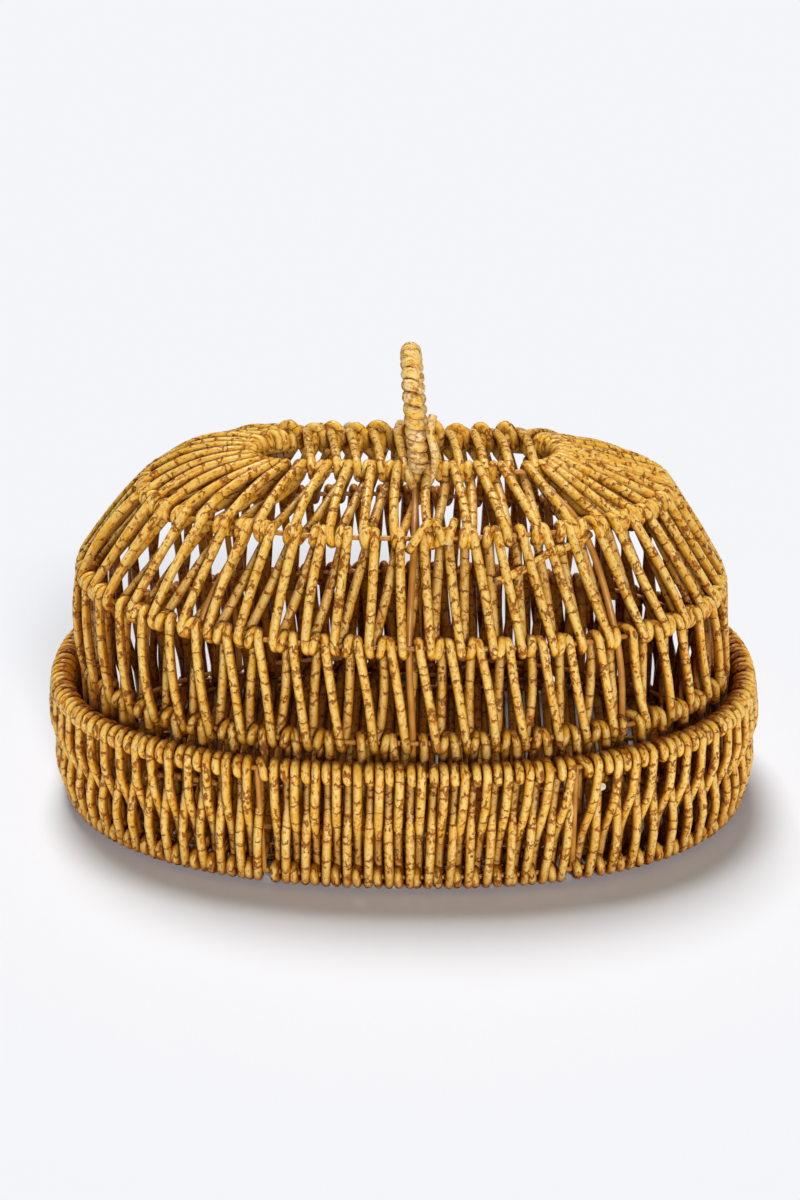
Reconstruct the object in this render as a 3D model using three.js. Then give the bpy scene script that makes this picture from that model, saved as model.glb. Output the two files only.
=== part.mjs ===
// Oval serving basket: a shallow tray and a domed lid that lifts off it, with an arch handle.
// Both are welded wire frames wound with round plastic rattan cord.
// Millimetres, +Z up. The origin is on the table, under the middle of the tray; +X is its length.
import * as THREE from "three";

// Cord and wire. A wire's section is a square with its corners at this share of its diameter.
const cordDiameter = 5;
const ringWire = 3;
const ribWire = 3;
const hoopWire = 3;
const wireCorner = 0.53;
const clearance = 0.35;

// Tray
const rimHalfLength = 183;
const rimHalfWidth = 122;
const rimRoundness = 2.32;
const wallHeight = 60;
const wallFlare = 1.5;
const postRight = 90;
const postLeft = 71;
const floorWireMargin = 16.5;
const floorWires = 4;

// Lid: insets are measured from the ring below
const collarInsetLength = 13.5;
const collarInsetWidth = 16.5;
const collarRise = 9;
const waistInsetLength = 4;
const waistInsetWidth = 5.5;
const waistRise = 49;
const waistTiltDegrees = 1.2;
const shoulderInsetLength = 30;
const shoulderInsetWidth = 30.5;
const shoulderRise = 47.5;
const crownHalfLength = 82;
const crownHalfWidth = 21.5;
const crownRise = 17;
const footInset = 3.5;
const ribOffset = 6;
const lidRoundness = 2.25;

// Handle
const hoopRise = 55.5;
const hoopLean = 4.5;
const hoopFrontX = 9.3;
const hoopBackX = 9;
const handleCord = 4;
const handleLoops = 22;

// Windings: turns round the lid, and the pitch of those on the tray's wall and floor
const ribCount = 8;
const turnsPerPanel = 4;
const panelStrands = 3;
const wallPitch = 18;
const floorPitch = 17;
const panelRise = 7;
const crownApproach = 7.5;
const turnLead = 0.8;
const rimPhase = 0.25;
const bottomPhase = 0.75;
const frontPhase = 0.25;
const backPhase = 0.75;
const downPhase = 0.3;
const crownDownPhase = 0.5;
const upPhase = 0.7;
const ribDetour = 6.2;
const ribDetourHeights = [0.28, 0.78];
const archHeights = [0.3, 0.7];

// Mesh fineness
const ringSteps = 48;
const outlineSamples = 720;
const loopSteps = 10;
const loopSides = 5;
const archSteps = 12;

// Where a winding runs beside a wire, from the wire's centre to the cord's centre and outside
const lidTurns = ribCount * turnsPerPanel;
const halfCord = (cordDiameter / 2) * Math.sqrt(Math.PI) / 2;
const cordReach = ringWire / 2 + clearance + halfCord;
const turnAngle = (corners) => Math.PI / 2 / corners;
const outerReach = (corners) => (cordReach + halfCord) / Math.cos(turnAngle(corners));
const softTurn = 3;
const flatTurn = 4;
const ribInset = ringWire / 2 + clearance + ribWire / 2;

const up = new THREE.Vector3(0, 0, 1);
const cordPaint = new THREE.MeshStandardMaterial({ color: 0xdcb05a, roughness: 0.42, metalness: 0 });
const wirePaint = new THREE.MeshStandardMaterial({ color: 0xb06a30, roughness: 0.4, metalness: 0.2 });

// A ring of wire. Distances run along it from the front middle, counter-clockwise from above.
class Ring {
  constructor(halfLength, halfWidth, height, { roundness, tiltDegrees = 0, offset = 0, frontShares = [0.5, 0.5] }) {
    Object.assign(this, { halfLength, halfWidth, height, offset, frontShares });
    const outline = roundness
      ? ovalOutline(halfLength, halfWidth, roundness)
      : stadiumOutline(halfLength, halfWidth);
    const slope = Math.tan(THREE.MathUtils.degToRad(tiltDegrees));
    this.points = evenPoints(outline, ringSteps).map(
      ([x, y]) => new THREE.Vector3(x, y, height - x * slope));
    this.marks = [0];
    this.points.forEach((point, i) => {
      this.marks.push(this.marks[i] + point.distanceTo(this.points[(i + 1) % ringSteps]));
    });
    this.length = this.marks[ringSteps];
    this.outs = this.points.map((_, i) => {
      const before = this.points[(i + ringSteps - 1) % ringSteps];
      const after = this.points[(i + 1) % ringSteps];
      return after.clone().sub(before).cross(up).normalize();
    });
  }

  at(distance) {
    const wrapped = ((distance % this.length) + this.length) % this.length;
    let i = 0;
    while (i < ringSteps - 1 && this.marks[i + 1] < wrapped) i += 1;
    const share = (wrapped - this.marks[i]) / (this.marks[i + 1] - this.marks[i]);
    const next = (i + 1) % ringSteps;
    const out = this.outs[i].clone().lerp(this.outs[next], share).normalize();
    return {
      point: this.points[i].clone().lerp(this.points[next], share),
      out,
      along: up.clone().cross(out),
    };
  }

  // Distance for a share of the way round from the front rib. Turns crowd towards the two ends
  // where frontShares, the part of a right and a left quarter before its diagonal rib, are over a half.
  place(share) {
    const wrapped = ((share % 1) + 1) % 1;
    const onRight = wrapped < 0.5;
    const fromFront = onRight ? wrapped * 2 : (1 - wrapped) * 2;
    const quarter = fromFront <= 0.5 ? fromFront * 2 : (1 - fromFront) * 2;
    const frontShare = this.frontShares[onRight ? 0 : 1];
    const crowded = quarter <= 0.5
      ? 2 * frontShare * quarter
      : frontShare + (1 - frontShare) * (2 * quarter - 1);
    const half = this.length / 2 + (onRight ? -2 : 2) * this.offset;
    const way = (fromFront <= 0.5 ? crowded / 2 : 1 - crowded / 2) * half;
    return this.offset + (onRight ? way : -way);
  }

  // Distance where the front or back half of the ring has a given x
  placeAtX(x, atBack) {
    let low = atBack ? this.length / 4 : -this.length / 4;
    let high = low + this.length / 2;
    while (high - low > 0.01) {
      const middle = (low + high) / 2;
      if ((this.at(middle).point.x < x) !== atBack) low = middle;
      else high = middle;
    }
    return low;
  }
}

function ovalOutline(halfLength, halfWidth, roundness) {
  const power = (value) => Math.sign(value) * Math.abs(value) ** (2 / roundness);
  return Array.from({ length: outlineSamples }, (_, i) => {
    const angle = (i / outlineSamples) * 2 * Math.PI - Math.PI / 2;
    return [halfLength * power(Math.cos(angle)), halfWidth * power(Math.sin(angle))];
  });
}

function stadiumOutline(halfLength, halfWidth) {
  const straight = halfLength - halfWidth;
  const arc = Array.from({ length: outlineSamples }, (_, i) => {
    const angle = ((i + 0.5) / outlineSamples) * 2 * Math.PI - Math.PI / 2;
    const side = angle < Math.PI / 2 ? straight : -straight;
    return [side + halfWidth * Math.cos(angle), halfWidth * Math.sin(angle)];
  });
  return [[0, -halfWidth], ...arc];
}

function evenPoints(outline, count) {
  const marks = [0];
  outline.forEach(([x, y], i) => {
    const [nextX, nextY] = outline[(i + 1) % outline.length];
    marks.push(marks[i] + Math.hypot(nextX - x, nextY - y));
  });
  const total = marks[outline.length];
  let i = 0;
  return Array.from({ length: count }, (_, k) => {
    const mark = (total * k) / count;
    while (marks[i + 1] < mark) i += 1;
    const share = (mark - marks[i]) / (marks[i + 1] - marks[i]);
    const [x, y] = outline[i];
    const [nextX, nextY] = outline[(i + 1) % outline.length];
    return [x + (nextX - x) * share, y + (nextY - y) * share];
  });
}

// A tube through stations, each with a centre, two directions across it and a mitre stretch
function tube(stations, circumradius, sides, closed = false) {
  const positions = [];
  const turn = (2 * Math.PI) / sides;
  for (const { centre, normal, lateral, stretch = 1 } of stations) {
    for (let j = 0; j < sides; j += 1) {
      const angle = (j + 0.5) * turn;
      const corner = centre.clone()
        .addScaledVector(normal, circumradius * stretch * Math.cos(angle))
        .addScaledVector(lateral, circumradius * Math.sin(angle));
      positions.push(corner.x, corner.y, corner.z);
    }
  }
  const index = [];
  const rings = stations.length;
  for (let i = 0; i < (closed ? rings : rings - 1); i += 1) {
    const a = i * sides;
    const b = ((i + 1) % rings) * sides;
    for (let j = 0; j < sides; j += 1) {
      const next = (j + 1) % sides;
      index.push(a + j, a + next, b + next, a + j, b + next, b + j);
    }
  }
  const last = (rings - 1) * sides;
  for (let j = 1; !closed && j < sides - 1; j += 1) {
    index.push(0, j + 1, j, last, last + j, last + j + 1);
  }
  const geometry = new THREE.BufferGeometry();
  geometry.setAttribute("position", new THREE.Float32BufferAttribute(positions, 3));
  geometry.setIndex(facingOut(positions, index));
  return geometry;
}

// Turns every face over where the closed mesh encloses a negative volume
function facingOut(positions, index) {
  const corner = (i) => new THREE.Vector3().fromArray(positions, index[i] * 3);
  let volume = 0;
  for (let i = 0; i < index.length; i += 3) {
    volume += corner(i).dot(corner(i + 1).cross(corner(i + 2)));
  }
  if (volume > 0) return index;
  const flipped = [];
  for (let i = 0; i < index.length; i += 3) flipped.push(index[i], index[i + 2], index[i + 1]);
  return flipped;
}

const cordTube = (stations) => tube(stations, halfCord * Math.SQRT2, 4);
const wireTube = (stations, diameter, closed) => tube(stations, diameter * wireCorner, 4, closed);

function mesh(name, geometry, material) {
  const piece = new THREE.Mesh(geometry, material);
  piece.name = name;
  return piece;
}

function ringMesh(name, ring) {
  const turn = Math.PI / ringSteps;
  const stations = ring.points.map((centre, i) => (
    { centre, normal: ring.outs[i], lateral: up, stretch: 1 / Math.cos(turn) }));
  return mesh(name, wireTube(stations, ringWire, true), wirePaint);
}

// The way from one ring to another, and the way out of the surface between them, each as
// [outward part, upward part] in the upright plane across the ring
function wayBetween(fromPlace, toPlace) {
  const step = toPlace.point.clone().sub(fromPlace.point);
  const outward = step.dot(fromPlace.out);
  const size = Math.hypot(outward, step.z);
  const far = [outward / size, step.z / size];
  const side = far[1] < 0 ? [-far[1], far[0]] : [far[1], -far[0]];
  return { far, side };
}

const inPlane = (place, [outward, upward]) => (
  place.out.clone().multiplyScalar(outward).addScaledVector(up, upward));

// The corners of one half turn of the cord round a ring, over its far side.
// from is the side it starts on (1 is outside), lead how far it moves along at each corner,
// approach how far from the ring the cord turns to meet it squarely.
function halfTurn(ring, distance, way, options) {
  const { from, corners = softTurn, lead = turnLead, flip = 1, across = 1, approach = 0 } = options;
  const radius = cordReach / Math.cos(turnAngle(corners));
  const stations = Array.from({ length: corners }, (_, i) => {
    const angle = from * (Math.PI / 2 - (2 * i + 1) * turnAngle(corners));
    const place = ring.at(distance + lead * (i - (corners - 1) / 2));
    const radial = inPlane(place, way.far).multiplyScalar(Math.cos(angle))
      .addScaledVector(inPlane(place, way.side), Math.sin(angle));
    return {
      centre: place.point.clone().addScaledVector(radial, radius),
      normal: radial.multiplyScalar(flip),
      lateral: place.along.multiplyScalar(across),
      stretch: 1 / Math.cos(turnAngle(corners)),
    };
  });
  if (approach) {
    const squarely = (end, side) => {
      const place = ring.at(distance + lead * end);
      const normal = inPlane(place, way.side).multiplyScalar(side);
      const centre = place.point.clone().addScaledVector(normal, cordReach)
        .addScaledVector(inPlane(place, way.far), -approach);
      return { centre, normal, lateral: place.along };
    };
    stations.unshift(squarely(-1, from));
    stations.push(squarely(1, -from));
  }
  return stations;
}

const bottomHeight = cordReach + halfCord;
const rimHeight = bottomHeight + wallHeight;
const bottomRing = new Ring(rimHalfLength - wallFlare, rimHalfWidth - wallFlare, bottomHeight,
  { roundness: rimRoundness });
const rimRing = new Ring(rimHalfLength, rimHalfWidth, rimHeight, { roundness: rimRoundness });

const floorInset = 2 * (cordReach + halfCord) + clearance;
const floorRing = new Ring(bottomRing.halfLength - floorInset, bottomRing.halfWidth - floorInset,
  bottomHeight, { roundness: rimRoundness });
const floorTop = bottomHeight + cordReach + halfCord;

const collarRing = new Ring(rimHalfLength - collarInsetLength, rimHalfWidth - collarInsetWidth,
  rimHeight + collarRise, { roundness: lidRoundness, offset: ribOffset, frontShares: [0.51, 0.48] });
const waistRing = new Ring(collarRing.halfLength - waistInsetLength, collarRing.halfWidth - waistInsetWidth,
  collarRing.height + waistRise,
  { roundness: lidRoundness, offset: ribOffset, frontShares: [0.51, 0.485], tiltDegrees: waistTiltDegrees });
const shoulderRing = new Ring(waistRing.halfLength - shoulderInsetLength,
  waistRing.halfWidth - shoulderInsetWidth, waistRing.height + shoulderRise,
  { roundness: lidRoundness, offset: ribOffset, frontShares: [0.54, 0.49] });
const crownRing = new Ring(crownHalfLength, crownHalfWidth, shoulderRing.height + crownRise,
  { offset: ribOffset, frontShares: [0.69, 0.63] });
const footRing = new Ring(collarRing.halfLength - footInset, collarRing.halfWidth - footInset,
  floorTop + clearance + outerReach(softTurn),
  { roundness: lidRoundness, offset: ribOffset, frontShares: [0.51, 0.48] });

// Tray wall: the cord crosses from outside to inside between the rings, in a figure 8
function wallWinding(name, start, end) {
  const turns = Math.round((end - start) / wallPitch);
  const pitch = (end - start) / turns;
  const toBottom = bottomRing.length / rimRing.length;
  const overRim = { far: [0, 1], side: [1, 0] };
  const underBottom = { far: [0, -1], side: [1, 0] };
  const stations = [];
  for (let k = 0; k < turns; k += 1) {
    const rimPlace = start + (k + rimPhase) * pitch;
    const bottomPlace = (start + (k + bottomPhase) * pitch) * toBottom;
    stations.push(...halfTurn(rimRing, rimPlace, overRim, { from: -1 }));
    stations.push(...halfTurn(bottomRing, bottomPlace, underBottom,
      { from: -1, corners: flatTurn, flip: -1 }));
  }
  return mesh(name, cordTube(stations), cordPaint);
}

function post(name, distance) {
  const top = rimRing.at(distance);
  const foot = bottomRing.at(distance * bottomRing.length / rimRing.length);
  const end = ringWire / 2 + clearance;
  const stations = [[top, -end], [foot, end]].map(([place, lift]) => ({
    centre: place.point.clone().addScaledVector(up, lift),
    normal: place.out,
    lateral: place.along,
  }));
  return mesh(name, wireTube(stations, ribWire), wirePaint);
}

// Floor: the cord runs over and under the long floor wires, round the floor ring
function floorWinding(name) {
  const turns = Math.floor(2 * (floorRing.halfLength - 2 * floorPitch) / floorPitch);
  const outwards = { far: [1, 0], side: [0, 1] };
  const stations = [];
  for (let k = 0; k < turns; k += 1) {
    const front = floorRing.placeAtX((k + frontPhase - turns / 2) * floorPitch, false);
    const back = floorRing.placeAtX((k + backPhase - turns / 2) * floorPitch, true);
    stations.push(...halfTurn(floorRing, front, outwards, { from: -1, corners: flatTurn }));
    stations.push(...halfTurn(floorRing, back, outwards,
      { from: 1, corners: flatTurn, lead: -turnLead, across: -1 }));
  }
  return mesh(name, cordTube(stations), cordPaint);
}

function floorWire(name, y) {
  const edge = (Math.abs(y) + ribWire) / (floorRing.halfWidth - ringWire / 2 - clearance);
  const reach = (floorRing.halfLength - ringWire / 2 - clearance)
    * (1 - edge ** rimRoundness) ** (1 / rimRoundness);
  const stations = [-1, 1].map((side) => ({
    centre: new THREE.Vector3(side * (reach - clearance), y, bottomHeight),
    normal: up,
    lateral: new THREE.Vector3(0, 1, 0),
  }));
  return mesh(name, wireTube(stations, ribWire), wirePaint);
}

// One run of a lid band, between two diagonal ribs: down outside, round the lower ring,
// up inside and over the upper ring. Inside, the cord bends round the rib that it crosses.
function bandWinding(name, upper, lower, firstTurn, alongRail) {
  const isCrown = upper === crownRing;
  const ribbed = alongRail || !isCrown;
  const stations = [];
  for (let k = firstTurn; k < firstTurn + 2 * turnsPerPanel; k += 1) {
    const upperShare = (k + (isCrown ? crownDownPhase : downPhase)) / lidTurns;
    const upperPlace = upper.place(upperShare);
    const lowerPlace = lower.place((k + upPhase) / lidTurns);
    const down = wayBetween(upper.at(upperPlace), lower.at(lower.place(upperShare)));
    const back = wayBetween(lower.at(lowerPlace), upper.at(upper.place((k + upPhase) / lidTurns)));
    const overUpper = { far: down.far.map((part) => -part), side: down.side };
    const underLower = { far: back.far.map((part) => -part), side: back.side };
    if (ribbed && k > firstTurn && k % turnsPerPanel === 0) {
      stations.push(...ribCrossing(upper, lower, k / lidTurns));
    }
    const approach = isCrown ? crownApproach : 0;
    stations.push(...halfTurn(upper, upperPlace, overUpper, {
      from: -1,
      lead: isCrown ? 0 : turnLead / 2,
      approach: alongRail ? approach : 0,
    }));
    stations.push(...halfTurn(lower, lowerPlace, underLower, { from: 1, approach }));
  }
  if (isCrown) stations.pop();
  return mesh(name, cordTube(stations), cordPaint);
}

function ribCrossing(upper, lower, share) {
  const top = upper.at(upper.place(share));
  const bottom = lower.at(lower.place(share));
  const inwards = inPlane(top, wayBetween(top, bottom).side).negate();
  return ribDetourHeights.map((height) => ({
    centre: bottom.point.clone().lerp(top.point, height).addScaledVector(inwards, ribInset + ribDetour),
    normal: inwards,
    lateral: top.along,
  }));
}

// A rib passes just inside each ring wire and butts against the first and the last
function rib(name, rings, share) {
  const places = rings.map((ring) => ring.at(ring.place(share)));
  const end = ringWire / 2 + clearance;
  const stations = places.map((place, i) => {
    const before = places[Math.max(i - 1, 0)];
    const after = places[Math.min(i + 1, places.length - 1)];
    const way = wayBetween(
      { point: before.point, out: place.out }, { point: after.point, out: place.out });
    const normal = inPlane(place, way.side);
    const isEnd = i === 0 || i === places.length - 1;
    const centre = place.point.clone();
    if (isEnd) centre.addScaledVector(inPlane(place, way.far), i === 0 ? end : -end);
    else centre.addScaledVector(normal, -ribInset);
    return { centre, normal, lateral: place.along };
  });
  return mesh(name, wireTube(stations, ribWire), wirePaint);
}

// Top panel: strands arched over the crown from the back rail to the front one, and back under
// it. They lie midway between the crown's own turns, to the right (1) or left (-1) of the handle.
function panelWinding(name, side) {
  const outwards = { far: [1, 0], side: [0, 1] };
  const rightGap = crownDownPhase + 0.5;
  const leftGap = crownDownPhase - 1.5;
  const strands = Array.from({ length: panelStrands }, (_, i) => (side > 0 ? i : panelStrands - 1 - i));
  const stations = [];
  strands.forEach((k) => {
    const frontTurns = side > 0 ? rightGap + k : leftGap - k;
    const backTurns = side > 0 ? leftGap - k : rightGap + k;
    const back = crownRing.place(0.5 + backTurns / lidTurns);
    const front = crownRing.place(frontTurns / lidTurns);
    const backTurn = halfTurn(crownRing, back, outwards, { from: -1, lead: 0, across: -1 });
    const frontTurn = halfTurn(crownRing, front, outwards, { from: 1, lead: 0 });
    const arch = archHeights.map((share) => ({
      centre: backTurn.at(-1).centre.clone().lerp(frontTurn[0].centre, share)
        .addScaledVector(up, panelRise),
      normal: up,
      lateral: frontTurn[0].lateral,
    }));
    stations.push(...backTurn, ...arch, ...frontTurn);
  });
  return mesh(name, cordTube(stations), cordPaint);
}

// Handle: a hoop across the lid whose feet stand outside the crown ring's rails
const hoopFootY = crownHalfWidth + ringWire / 2 + clearance + hoopWire / 2;
const hoopFront = new THREE.Vector3(hoopFrontX, -hoopFootY, crownRing.height);
const hoopBack = new THREE.Vector3(hoopBackX, hoopFootY, crownRing.height);
const hoopMiddle = hoopFront.clone().lerp(hoopBack, 0.5);
const hoopRadius = hoopFront.distanceTo(hoopBack) / 2;
const hoopWay = hoopBack.clone().sub(hoopFront).normalize();
const hoopUp = new THREE.Vector3(-hoopLean, 0, hoopRise).normalize();
const hoopAcross = hoopWay.clone().cross(hoopUp).normalize();
const legLength = Math.hypot(hoopLean, hoopRise) - hoopRadius;
const archLength = hoopRadius * Math.PI / 2;

// A place on the hoop's centreline, with the way out of the arch, for a distance from its apex
function hoopAt(distance) {
  const side = Math.sign(distance) || 1;
  const angle = Math.min(Math.abs(distance) / hoopRadius, Math.PI / 2);
  const below = Math.max(Math.abs(distance) - archLength, 0);
  const normal = hoopWay.clone().multiplyScalar(side * Math.sin(angle))
    .addScaledVector(hoopUp, Math.cos(angle));
  const centre = hoopMiddle.clone().addScaledVector(normal, hoopRadius)
    .addScaledVector(hoopUp, legLength - below);
  return { centre, normal };
}

function handleHoop(name) {
  const foot = archLength + legLength + hoopWire / 2;
  const distances = Array.from({ length: archSteps + 1 }, (_, i) => archLength * (2 * i / archSteps - 1));
  const stations = [-foot, ...distances, foot].map((distance) => (
    { ...hoopAt(distance), lateral: hoopAcross }));
  return mesh(name, tube(stations, hoopWire / 2, 6), wirePaint);
}

const bareFoot = outerReach(softTurn) + clearance + handleCord;
const loopRadius = hoopWire / 2 + clearance + handleCord / 2;

function handleWindingPoints() {
  const half = archLength + legLength - bareFoot;
  const steps = handleLoops * loopSteps;
  return Array.from({ length: steps + 1 }, (_, i) => {
    const place = hoopAt(half * (2 * i / steps - 1));
    const angle = (i / loopSteps) * 2 * Math.PI;
    const radial = place.normal.clone().multiplyScalar(Math.cos(angle))
      .addScaledVector(hoopAcross, Math.sin(angle));
    return { centre: place.centre.addScaledVector(radial, loopRadius), normal: radial };
  });
}

function handleWinding(name) {
  const points = handleWindingPoints();
  const heading = (i) => points[Math.min(i + 1, points.length - 1)].centre.clone()
    .sub(points[Math.max(i - 1, 0)].centre).normalize();
  const stations = points.map(({ centre, normal }, i) => (
    { centre, normal, lateral: heading(i).cross(normal).normalize() }));
  const straightEnd = (i, way) => ({
    ...stations[i],
    centre: stations[i].centre.clone().addScaledVector(heading(i), way * handleCord),
  });
  const ends = [straightEnd(0, -1), straightEnd(points.length - 1, 1)];
  reportGap(points);
  return mesh(name, tube([ends[0], ...stations, ends[1]], handleCord / 2, loopSides), cordPaint);
}

function reportGap(points) {
  const halfLoop = loopSteps / 2;
  let least = Infinity;
  points.forEach((a, i) => {
    points.slice(i + halfLoop).forEach((b) => {
      least = Math.min(least, a.centre.distanceTo(b.centre));
    });
  });
  console.log(`handle winding: least gap to itself ${(least - handleCord).toFixed(2)} mm`);
}

const tray = new THREE.Group();
tray.add(ringMesh("tray_bottom_ring", bottomRing));
tray.add(ringMesh("tray_rim_ring", rimRing));
tray.add(ringMesh("tray_floor_ring", floorRing));

const rimLength = rimRing.length;
const postPlaces = [
  ["front_left", -postLeft],
  ["front_right", postRight],
  ["right", rimLength / 4],
  ["back_right", rimLength / 2 - postRight],
  ["back_left", rimLength / 2 + postLeft],
  ["left", rimLength * 3 / 4],
];
const wallRuns = ["front", "right_front", "right_back", "back", "left_back", "left_front"];
postPlaces.forEach(([side, place], i) => {
  const next = i < 5 ? postPlaces[i + 1][1] : rimLength - postLeft;
  tray.add(post(`tray_post_${side}`, place));
  tray.add(wallWinding(`tray_wall_winding_${wallRuns[i]}`, place, next));
});
const floorWireReach = floorRing.halfWidth - floorWireMargin;
for (let i = 0; i < floorWires; i += 1) {
  const y = floorWireReach * (2 * i / (floorWires - 1) - 1);
  tray.add(floorWire(`tray_floor_wire_${i + 1}`, y));
}
tray.add(floorWinding("tray_floor_winding"));

const lid = new THREE.Group();
const lidRings = [crownRing, shoulderRing, waistRing, collarRing, footRing];
["crown", "shoulder", "waist", "collar", "foot"].forEach((name, i) => {
  lid.add(ringMesh(`lid_${name}_ring`, lidRings[i]));
});
["front", "front_right", "right", "back_right", "back", "back_left", "left", "front_left"]
  .forEach((side, i) => {
    const isEnd = i % 4 === 2;
    lid.add(rib(`lid_rib_${side}`, isEnd ? lidRings.slice(1) : lidRings, i / ribCount));
  });
["crown", "shoulder", "waist", "skirt"].forEach((band, i) => {
  ["front", "right", "back", "left"].forEach((side, quarter) => {
    const firstTurn = (quarter * 2 - 1) * turnsPerPanel;
    const alongRail = quarter % 2 === 0;
    lid.add(bandWinding(`lid_${band}_winding_${side}`, lidRings[i], lidRings[i + 1], firstTurn, alongRail));
  });
});
lid.add(panelWinding("lid_top_winding_left", -1));
lid.add(panelWinding("lid_top_winding_right", 1));
lid.add(handleHoop("lid_handle_hoop"));
lid.add(handleWinding("lid_handle_winding"));

const basket = new THREE.Group();
basket.add(tray, lid);
export default basket;
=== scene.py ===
"""Oval serving basket of wound cord on wire frames: its looks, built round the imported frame.

Lengths below are in millimetres, as in the frame's source, and become metres as each piece is made.
+X is the basket's length, the front faces -Y and +Z is up.
"""

import math

import bpy
import numpy as np
from mathutils import Matrix, Vector


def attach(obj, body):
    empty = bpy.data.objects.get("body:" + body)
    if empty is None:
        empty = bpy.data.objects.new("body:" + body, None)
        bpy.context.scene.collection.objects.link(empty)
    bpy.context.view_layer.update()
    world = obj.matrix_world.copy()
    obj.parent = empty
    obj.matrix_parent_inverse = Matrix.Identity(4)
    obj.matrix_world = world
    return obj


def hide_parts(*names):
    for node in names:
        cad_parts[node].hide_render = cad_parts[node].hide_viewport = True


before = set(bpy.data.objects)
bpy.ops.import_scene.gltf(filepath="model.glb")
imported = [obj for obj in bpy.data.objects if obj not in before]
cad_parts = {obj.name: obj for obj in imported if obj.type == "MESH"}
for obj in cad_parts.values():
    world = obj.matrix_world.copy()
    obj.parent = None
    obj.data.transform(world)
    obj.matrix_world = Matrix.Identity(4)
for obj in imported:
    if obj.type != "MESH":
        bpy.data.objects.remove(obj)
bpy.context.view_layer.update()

MM = 0.001
U_PER_MM = 0.01
rng = np.random.default_rng(11)

# Radii of the cord, of its thinner ends and of the wires
CORD = 2.45
TAIL = 2.2
LAST_END = 2.3
WIRE = 1.5
RING_WIRE = 1.3
RIB_WIRE = 1.75
# From the middle of a ring wire to the middle of the cord round it
REACH = 3.62

RIM_HALF = (183.0, 122.0)
RIM_ROUND = 2.32
# The dressed rim is a little longer than the frame's and further left
RIM_SPREAD = 1.5
RIM_SHIFT = -1.0
WALL_HEIGHT = 60.0
WALL_FLARE = 1.5
BOTTOM_Z = 6.28
RIM_Z = BOTTOM_Z + WALL_HEIGHT
FLOOR_INSET = 12.9
LID_ROUND = 2.25
COLLAR_RISE = 9.0
WAIST_RISE = 59.3
WAIST_TILT = 1.2
WAIST_SHIFT = -2.0
SHOULDER_RISE = 105.5
CROWN_RISE = 122.5
FOOT_Z = 20.16
RIB_OFFSET = 6.0

# Eight ribs part a lid ring into panels, and each panel has the same number of slots
PANELS = 8
SLOTS = 20

RING_POINTS = 1440
OUTLINE_POINTS = 7200
END_POINTS = 400


def unit(vectors):
    return vectors / np.linalg.norm(vectors, axis=-1, keepdims=True)


class Ring:
    """The middle line of a ring wire. Distances run from the front middle, counter-clockwise
    from above. A tilt lowers its right end. The front rib stands at the offset, and the
    front shares set the diagonal ribs, right and left, between it and the ends."""

    def __init__(self, half_length, half_width, height, roundness=None, tilt=0.0, offset=0.0,
                 front_shares=(0.5, 0.5), shift=0.0):
        self.half_length = half_length
        self.half_width = half_width
        self.height = height
        outline = oval(half_length, half_width, roundness) if roundness else stadium(
            half_length, half_width)
        closed = np.vstack([outline, outline[:1]])
        marks = np.concatenate([[0], np.cumsum(np.hypot(*np.diff(closed, axis=0).T))])
        self.length = marks[-1]
        even = np.arange(RING_POINTS) * self.length / RING_POINTS
        x = np.interp(even, marks, closed[:, 0])
        y = np.interp(even, marks, closed[:, 1])
        z = height - x * math.tan(math.radians(tilt))
        self.points = np.stack([x + shift, y, z], 1)
        tangent = np.roll(self.points, -1, 0) - np.roll(self.points, 1, 0)
        self.outs = unit(np.stack([tangent[:, 1], -tangent[:, 0], np.zeros(RING_POINTS)], 1))
        quarter = self.length / 4
        right = front_shares[0] * (quarter - offset)
        left = front_shares[1] * (quarter + offset)
        back = 2 * quarter - offset
        lap = 4 * quarter + offset
        self.ribs = np.array([offset, offset + right, quarter, back - right, back, back + left,
                              3 * quarter, lap - left, lap])
        self.slots = (np.arange(PANELS + 1) * SLOTS, self.ribs)

    def at(self, distance):
        """Points and outward directions at distances round the ring."""
        share = np.asarray(distance, float) / self.length * RING_POINTS
        low = np.floor(share).astype(int)
        part = (share - low)[..., None]
        a, b = low % RING_POINTS, (low + 1) % RING_POINTS
        return (self.points[a] * (1 - part) + self.points[b] * part,
                self.outs[a] * (1 - part) + self.outs[b] * part)


def oval(half_length, half_width, roundness):
    """An outline that is an ellipse at roundness 2 and fuller above it."""
    angle = np.linspace(-math.pi / 2, 1.5 * math.pi, OUTLINE_POINTS, endpoint=False)
    c, s = np.cos(angle), np.sin(angle)
    power = 2 / roundness
    return np.stack([half_length * np.sign(c) * np.abs(c) ** power,
                     half_width * np.sign(s) * np.abs(s) ** power], 1)


def stadium(half_length, half_width):
    """An outline with straight sides and half-round ends."""
    straight = half_length - half_width
    right = np.linspace(-math.pi / 2, math.pi / 2, END_POINTS)
    ends = [np.stack([side * straight + half_width * np.cos(a), half_width * np.sin(a)], 1)
            for side, a in ((1, right), (-1, right + math.pi))]
    return np.vstack([[[0, -half_width]], *ends])


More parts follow.
